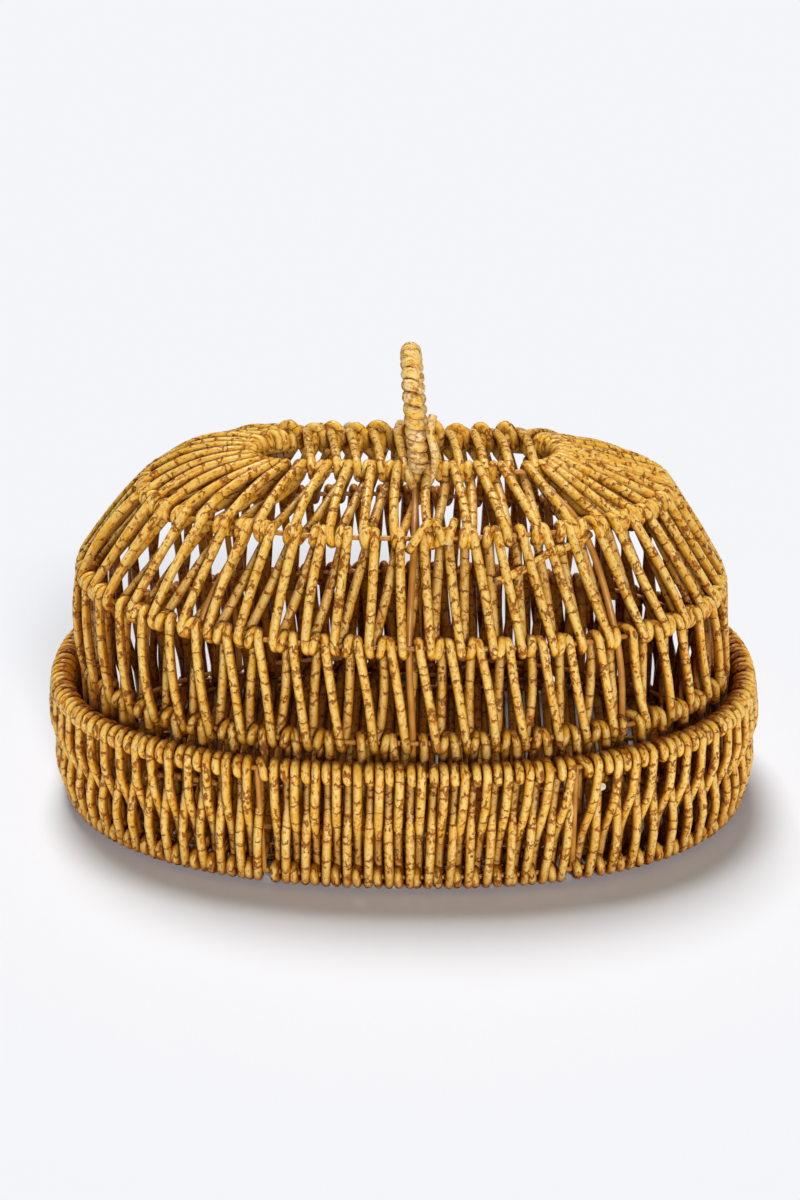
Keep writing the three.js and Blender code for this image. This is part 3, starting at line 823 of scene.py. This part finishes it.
def wall_weave():
    """One cord wound in a figure 8 between the rim and the bottom ring, panel by panel."""
    path = []
    heights = np.linspace(0.92, 0.08, WALL_STRAND_POINTS)
    up = heights[::-1]
    hump = np.sin(math.pi * heights)
    outer = WALL_REACH * np.interp(heights, DEPTH_HEIGHTS, DEPTH_SHARES)
    for start, end in zip(posts[:-1], posts[1:]):
        count = round((end - start - POST_GAP) / WALL_PITCH)
        pitch = (end - start - POST_GAP) / count
        first = start + POST_GAP / 2 + 0.25 * pitch
        gap = POST_GAP / pitch
        arrival = -0.08 - gap
        for k in range(count):
            base = first + k * pitch
            jitter = rng.normal(0, WALL_SPREAD, 6)
            lean = wall_lean(base)
            head_base = base + HEAD_SHARE * lean
            foot_base = base - (1 - HEAD_SHARE) * lean
            before_post = k == count - 1
            over = -0.03 if k else -0.08 - 0.5 * gap
            q, degrees, radius = keyed([
                (arrival, -80, 0.3), (over, 0, 0), (0.0, 60, 0), (0.0, 95, 0), (0.06, 150, 0),
                (0.11, 195, 0), (0.32, 275, 0.8), (0.46, 360, 0), (0.50, 440, 0),
            ], HEAD_POINTS)
            path.append(wall_band.loop(True, head_base + (q + jitter[0]) * pitch, degrees,
                                       RIM_REACH + radius))
            q = np.interp(heights, [0, 0.2, 0.45, 0.75, 1], [0.29, 0.31, 0.36, 0.45, 0.50])
            q = q + jitter[0] * heights + jitter[2] * hump
            _, out = rim_ring.at(placed(wall_band.upper_slots, base))
            bow = (WALL_BOW + END_BOW * out[0] ** 2) * hump
            tilted = foot_base + (head_base - foot_base) * heights
            path.append(wall_band.strand(tilted + q * pitch, heights, outer + bow))
            foot = 0.70 if before_post else 0.81
            q, degrees, radius = keyed([
                (0.30, -80, 0), (0.27, 0, 0), (0.24, 60, 0), (0.23, 90, 0), (0.15, 180, 0.2),
                (0.45, 275, 0.9), (foot - 0.06, 350, 0.2), (foot, 440, 0),
            ], HITCH_POINTS)
            path.append(wall_band.loop(False, foot_base + (q + jitter[3]) * pitch, degrees,
                                       BOTTOM_REACH + radius))
            head = 0.92 if before_post else 1.02 + jitter[5]
            arrival = head - 1.0
            q = np.interp(up, [0, 0.4, 0.75, 1],
                          [foot, foot + 0.3 * (head - foot), foot + 0.7 * (head - foot), head])
            q = q + jitter[3] * (1 - up) + jitter[4] * np.sin(math.pi * up)
            path.append(wall_band.strand(tilted[::-1] + q * pitch, up, outer + bow))
    return wind(np.vstack(path), closed=True)


WALL_NAMES = ("front", "right_front", "right_back", "back", "left_back", "left_front")
add_piece("tray_wall_weave", "tray", [wall_weave()], cord_look,
          [f"tray_wall_winding_{side}" for side in WALL_NAMES])


# Tray floor: strands across it over the floor wires, and back under them
FLOOR_PITCH = 10.0
FLOOR_SPREAD = 0.4
FLOOR_END_MARGIN = 8.0
FLOOR_WIRE_MARGIN = 16.5
FLOOR_WIRES = 4
# The strands under the floor wires lie this much nearer to them
UNDER_LIFT = 0.12
ACROSS_POINTS = 14
EDGE_POINTS = 9


def oval_share(share):
    """How far the floor ring reaches one way, as a share, at a share of its reach the other."""
    return (1 - abs(share) ** RIM_ROUND) ** (1 / RIM_ROUND)


def floor_weave():
    """One cord wound across the floor ring, from its left end to its right."""
    half = floor_ring.half_length
    reach = half - FLOOR_END_MARGIN
    count = int(2 * reach / FLOOR_PITCH)
    path = []

    def edge(x):
        return floor_ring.half_width * oval_share(x / half)

    turn = np.radians(np.linspace(0, 180, EDGE_POINTS))
    across = np.linspace(-0.97, 0.97, ACROSS_POINTS)
    for k in range(count + 1):
        x = (k - count / 2) * FLOOR_PITCH + rng.normal(0, FLOOR_SPREAD)
        back = edge(x + 0.25 * FLOOR_PITCH)
        front = edge(x)
        path.append(np.stack([x + (across + 1) * 0.03 * FLOOR_PITCH,
                              across * (back + front) / 2 + (back - front) / 2,
                              np.full(ACROSS_POINTS, BOTTOM_Z + REACH)], 1))
        path.append(np.stack([x + np.linspace(0.06, 0.46, EDGE_POINTS) * FLOOR_PITCH,
                              back + REACH * np.sin(turn), BOTTOM_Z + REACH * np.cos(turn)], 1))
        next_front = edge(x + 0.78 * FLOOR_PITCH)
        path.append(np.stack([x + (0.5 - across[::-1] * 0.04) * FLOOR_PITCH,
                              -across * (back + next_front) / 2 + (back - next_front) / 2,
                              np.full(ACROSS_POINTS, BOTTOM_Z - REACH + UNDER_LIFT)], 1))
        path.append(np.stack([x + np.linspace(0.54, 0.98, EDGE_POINTS) * FLOOR_PITCH,
                              -next_front - REACH * np.sin(turn),
                              BOTTOM_Z - REACH * np.cos(turn)], 1))
    return wind(np.vstack(path))


add_piece("tray_floor_weave", "tray", [floor_weave()], cord_look, ["tray_floor_winding"])


# Top panel: strands arched from the back rail to the front one, each with a loose loop that
# stands over the back rail
TOP_LANDING = 4.6
TOP_STRANDS = 5
# The loop's half width, how far left of the strand's front end it stands, and the spreads of
# the strand's place, the loop's height and its half width
LOOP_WIDTH = 4.6
LOOP_LEFT = 14.5
TOP_SPREAD = 0.5
LOOP_RISE_SPREAD = 0.9
LOOP_WIDTH_SPREAD = 0.4


def top_weave():
    """One cord over and under the crown's rails, from left to right, beside the crown's first
    strands."""
    rail_y = crown_ring.half_width
    z = crown_ring.height
    fronts = [RIB_OFFSET - x for x in CROWN_LEFT[TOP_STRANDS - 1::-1]]
    fronts += [RIB_OFFSET + x for x in CROWN_RIGHT[:TOP_STRANDS]]
    fronts = [x + TOP_LANDING for x in fronts]
    spacing = np.diff(fronts).mean()
    path = []
    for x in fronts:
        x += rng.normal(0, TOP_SPREAD)
        rise = rng.normal(0, LOOP_RISE_SPREAD)
        width = LOOP_WIDTH + rng.normal(0, LOOP_WIDTH_SPREAD)
        peak = x - LOOP_LEFT
        left = peak - width
        right = peak + width
        rows = [
            (left - 1.6, rail_y - 2, -REACH),
            (left - 0.8, rail_y + REACH - 0.6, -1.5),
            (left, rail_y + 3.2, 4.0),
            (peak - 0.6 * width, rail_y + 2.4, 6.4 + rise),
            (peak, rail_y + 1.0, 7.7 + rise),
            (peak + 0.6 * width, rail_y - 0.8, 6.0 + rise),
            (right, rail_y - 2.6, 4.0),
            (right + 0.6, rail_y - REACH, 0.0),
            (right + 0.9, rail_y - 1.5, -REACH + 0.4),
            (right + 1.5, rail_y + 2.2, -REACH + 0.8),
            (right + 2.2, rail_y + REACH, 0.0),
            (right + 3.0, rail_y + 2.0, REACH),
            (right + 3.8, rail_y - 3.0, REACH + 1.9),
            (x - 3.8, rail_y * 0.2, REACH + 2.6 + 0.5 * rise),
            (x - 1.8, -rail_y * 0.55, REACH + 1.9),
            (x - 0.6, -rail_y - 0.6, REACH),
            (x, -rail_y - REACH, 0.0),
            (x + 0.3, -rail_y - 2.5, -REACH + 0.8),
            (x + 0.5, -rail_y + 3.0, -REACH - 0.2),
            (x + spacing - 16.5, rail_y * 0.3, -REACH - 0.8),
        ]
        path.append(np.array(rows) + (0, 0, z))
    return wind(curve(np.vstack(path)))


add_piece("lid_top_weave", "lid", [top_weave()], cord_look,
          ["lid_top_winding_left", "lid_top_winding_right"])


# Handle: a hoop across the lid, wrapped in flattened cord
HOOP_RISE = 55.5
HOOP_LEAN = 4.8
HOOP_FRONT_X = 7.7
HOOP_BACK_X = 7.2
HOOP_FOOT_Y = crown_ring.half_width + 3.35
FOOT_DROP = 8.5
HOOP_POINTS = 81
# Turns of the cord, the points of each, how uneven they are, the distance from the hoop's middle
# to the cord's, and how much the cord is pressed flat
WRAPS = 25.8
WRAP_POINTS = 18
WRAP_UNEVEN = 0.02
WRAP_REACH = 3.5
WRAP_PRESS = 0.21
hoop_front = np.array([HOOP_FRONT_X, -HOOP_FOOT_Y, crown_ring.height])
hoop_back = np.array([HOOP_BACK_X, HOOP_FOOT_Y, crown_ring.height])
hoop_middle = (hoop_front + hoop_back) / 2
hoop_radius = np.linalg.norm(hoop_back - hoop_front) / 2
hoop_way = (hoop_back - hoop_front) / (2 * hoop_radius)
hoop_up = np.array([-HOOP_LEAN, 0, HOOP_RISE])
hoop_up /= np.linalg.norm(hoop_up)
hoop_across = np.cross(hoop_way, hoop_up)
hoop_across /= np.linalg.norm(hoop_across)
leg_length = math.hypot(HOOP_LEAN, HOOP_RISE) - hoop_radius
arch_length = hoop_radius * math.pi / 2
hoop_half = arch_length + leg_length + FOOT_DROP


def hoop_at(distance):
    """Points on the hoop's middle line and its outward directions, 0 at the top."""
    distance = np.asarray(distance, float)
    side = np.where(distance < 0, -1.0, 1.0)
    angle = np.minimum(np.abs(distance) / hoop_radius, math.pi / 2)
    below = np.maximum(np.abs(distance) - arch_length, 0)
    normal = hoop_way * (side * np.sin(angle))[:, None] + hoop_up * np.cos(angle)[:, None]
    return hoop_middle + normal * hoop_radius + hoop_up * (leg_length - below)[:, None], normal


def handle_wrap():
    """The cord wound round the hoop, from its front foot to its back foot."""
    turn = np.linspace(0, WRAPS, int(WRAPS * WRAP_POINTS) + 1)
    uneven = WRAP_UNEVEN * np.sin(turn * 2.4) + WRAP_UNEVEN * np.sin(turn * 5.1 + 1)
    centre, normal = hoop_at(hoop_half * (2 * (turn + uneven) / WRAPS - 1))
    angle = -2 * math.pi * turn
    radial = normal * np.cos(angle)[:, None] + hoop_across * np.sin(angle)[:, None]
    return tube(centre + radial * WRAP_REACH, CORD, WIRE_SIDES, False, WRAP_LUMPS,
                (radial, WRAP_PRESS))


# The wrap's last end runs down beside the front leg and round under its foot
last_end = [(14.5, -22, 219), (13, -28, 213), (14.7, -29, 206.6), (15.9, -29, 200.7),
            (16.1, -30, 195.7), (14.7, -31, 190.7), (12, -31, 185.6), (8.1, -31, 182.7),
            (4.1, -31, 184.9), (2.5, -29, 188.5), (1.5, -24, 192)]
add_piece("lid_handle_wrap", "lid",
          [handle_wrap(), wind(curve(last_end), radius=LAST_END)], handle_look,
          ["lid_handle_winding"])


# Loose ends of the cord, each given by slot, height share and depth on its band
lid_tails = (
    (shoulder_band, [(20.6, 0.95, -2), (18.5, 0.88, 0.5), (15.7, 0.84, 2.5), (14.35, 0.80, 3.6),
                     (12.6, 0.72, 1.0), (11.0, 0.67, 3.4), (9.3, 0.60, 3.9), (8.5, 0.59, 4.6)]),
    (shoulder_band, [(2.2, 1.15, 0), (2.5, 1.10, 5.5), (2.9, 1.02, 7.2), (3.45, 0.92, 6.4)]),
    (shoulder_band, [(4.6, 1.15, 0), (4.35, 1.10, 5.5), (3.95, 1.0, 7.4), (3.6, 0.92, 8.4)]),
    (shoulder_band, [(1.9, 1.14, 1), (1.5, 1.12, 5.8), (0.8, 1.04, 7.4), (-0.1, 0.93, 6.2),
                     (-0.5, 0.87, 2)]),
)
tray_tails = (
    (wall_band, [(103.6, 0.785, 1.5), (104.5, 0.785, -3), (110, 0.77, -7.6), (129.6, 0.68, -7.9),
                 (140, 0.64, -7.9), (152, 0.60, -7.6), (158, 0.58, -3)]),
    (wall_band, [(860, 0.64, -3), (867, 0.67, -7.6), (887, 0.71, -7.9), (904, 0.72, -7.6),
                 (909, 0.72, -3)]),
)
for body, tails in (("lid", lid_tails), ("tray", tray_tails)):
    parts = []
    for band, rows in tails:
        q, height, depth = curve(rows).T
        parts.append(wind(band.strand(q, height, depth), radius=TAIL))
    add_piece(f"{body}_loose_ends", body, parts, cord_look, cut_material=core_look)


# Wires. A ring wire's mesh has every fourth point of its ring.
RING_STEP = 4


def add_wire(name, body, cad_node, line, radius=WIRE, closed=False):
    """A wire along a line, in the place of the frame's wire."""
    add_piece(name, body, [tube(line, radius, WIRE_SIDES, closed)], wire_look, [cad_node])


lid_rings = {"crown": crown_ring, "shoulder": shoulder_ring, "waist": waist_ring,
             "collar": collar_ring, "foot": foot_ring}
tray_rings = {"bottom": bottom_ring, "rim": rim_ring, "floor": floor_ring}
for body, rings in (("lid", lid_rings), ("tray", tray_rings)):
    for ring_name, ring in rings.items():
        add_wire(f"{body}_{ring_name}_wire", body, f"{body}_{ring_name}_ring",
                 ring.points[::RING_STEP], RING_WIRE, True)

RIB_NAMES = ("front", "front_right", "right", "back_right", "back", "back_left", "left",
             "front_left")
for i, rib_name in enumerate(RIB_NAMES):
    # the ribs at the lid's right and left ends begin at the shoulder
    rings = list(lid_rings.values())[1 if i % 4 == 2 else 0:]
    points = []
    for j, ring in enumerate(rings):
        point, out = ring.at(ring.ribs[i])
        above = rings[max(j - 1, 0)]
        under = rings[min(j + 1, len(rings) - 1)]
        fall = above.at(above.ribs[i])[0] - under.at(under.ribs[i])[0]
        outward = fall @ out
        size = math.hypot(outward, fall[2])
        away = out * fall[2] / size
        away[2] = -outward / size
        points.append(point - away * INSIDE_RIB)
    add_wire(f"lid_rib_wire_{rib_name}", "lid", f"lid_rib_{rib_name}", curve(points), RIB_WIRE)

POST_NAMES = ("front_left", "front_right", "right", "back_right", "back_left", "left")
for post_name, distance in zip(POST_NAMES, posts):
    head, _ = rim_ring.at(distance)
    foot, _ = bottom_ring.at(distance * to_bottom)
    add_wire(f"tray_post_wire_{post_name}", "tray", f"tray_post_{post_name}",
             curve([foot, (head + foot) / 2, head]))

floor_reach = floor_ring.half_width - FLOOR_WIRE_MARGIN
for i in range(FLOOR_WIRES):
    y = floor_reach * (2 * i / (FLOOR_WIRES - 1) - 1)
    end = floor_ring.half_length * oval_share(y / floor_ring.half_width)
    points = [(x, y, BOTTOM_Z) for x in (-end, 0, end)]
    add_wire(f"tray_floor_wire_{i + 1}_round", "tray", f"tray_floor_wire_{i + 1}", curve(points))

hoop_line, _ = hoop_at(np.linspace(-hoop_half, hoop_half, HOOP_POINTS))
add_wire("lid_handle_wire", "lid", "lid_handle_hoop", hoop_line)


# Floor, lights and camera, in metres
FLOOR_HALF = 12.0
FLOOR_Z = -0.0004
NEAR_FLOOR = (0.866, 0.876, 0.910)
FAR_FLOOR = (0.906, 0.914, 0.948)
# Distances from the basket's middle at which the even far floor begins and is full
FAR_STARTS = 0.26
FAR_IS_FULL = 0.42
WORLD_COLOUR = (0.92, 0.95, 1.0)
WORLD_STRENGTH = 0.03


def pale_floor():
    """A white paper sweep with the basket's shadow. Far from the basket, the camera and
    reflections see it evenly pale."""
    mesh = bpy.data.meshes.new("studio_floor")
    corners = [(-1, -1), (1, -1), (1, 1), (-1, 1)]
    mesh.from_pydata([(x * FLOOR_HALF, y * FLOOR_HALF, FLOOR_Z) for x, y in corners], [],
                     [(0, 1, 2, 3)])
    material, tree, shader = new_material("pale_floor")
    reach = vector_node(tree, "LENGTH", node(tree, "ShaderNodeTexCoord").outputs["Object"])
    shader.inputs["Base Color"].default_value = (*NEAR_FLOOR, 1)
    shader.inputs["Roughness"].default_value = 0.9
    shader.inputs["Specular IOR Level"].default_value = 0.0
    plain = node(tree, "ShaderNodeEmission")
    plain.inputs["Color"].default_value = (*FAR_FLOOR, 1)
    rays = node(tree, "ShaderNodeLightPath").outputs
    mirrored = math_node(tree, "MAXIMUM", rays["Is Glossy Ray"], rays["Is Transmission Ray"])
    seen = math_node(tree, "MAXIMUM", rays["Is Camera Ray"], mirrored)
    far = times(tree, ramp(tree, reach, FAR_STARTS, FAR_IS_FULL), seen)
    blend = node(tree, "ShaderNodeMixShader")
    set_inputs(tree, blend, (far, shader.outputs[0], plain.outputs[0]))
    tree.links.new(blend.outputs[0], tree.nodes["Material Output"].inputs["Surface"])
    mesh.materials.append(material)
    new_object("studio_floor", mesh)


def soft_light(name, towards, strength, spread):
    """A far, large light that shines from a direction, its spread in degrees."""
    data = bpy.data.lights.new(name, "SUN")
    data.energy = strength
    data.angle = math.radians(spread)
    obj = new_object(name, data)
    obj.rotation_mode = "QUATERNION"
    obj.rotation_quaternion = (-Vector(towards)).to_track_quat("-Z", "Y")


pale_floor()
soft_light("top_light", (-0.13, 0.46, 1.0), strength=2.82, spread=24)
soft_light("front_light", (0.24, -1.0, 0.30), strength=2.3, spread=14)

world = bpy.data.worlds.new("studio")
world.use_nodes = True
background = world.node_tree.nodes["Background"]
background.inputs["Color"].default_value = (*WORLD_COLOUR, 1)
background.inputs["Strength"].default_value = WORLD_STRENGTH
bpy.context.scene.world = world
bpy.context.scene.view_settings.view_transform = "Standard"

ELEVATION = math.radians(25)
AZIMUTH = math.radians(1.3)
DISTANCE = 1.250
TARGET = Vector((-0.0027, 0, 0.1055))
LENS = 69.75
back = Vector((math.sin(AZIMUTH) * math.cos(ELEVATION), -math.cos(AZIMUTH) * math.cos(ELEVATION),
               math.sin(ELEVATION)))
camera_data = bpy.data.cameras.new("camera")
camera_data.lens = LENS
camera = new_object("camera", camera_data)
right = Vector((math.cos(AZIMUTH), math.sin(AZIMUTH), 0))
up = back.cross(right)
camera.matrix_world = Matrix.Translation(TARGET + back * DISTANCE) @ Matrix(
    (right, up, back)).transposed().to_4x4()
bpy.context.scene.camera = camera
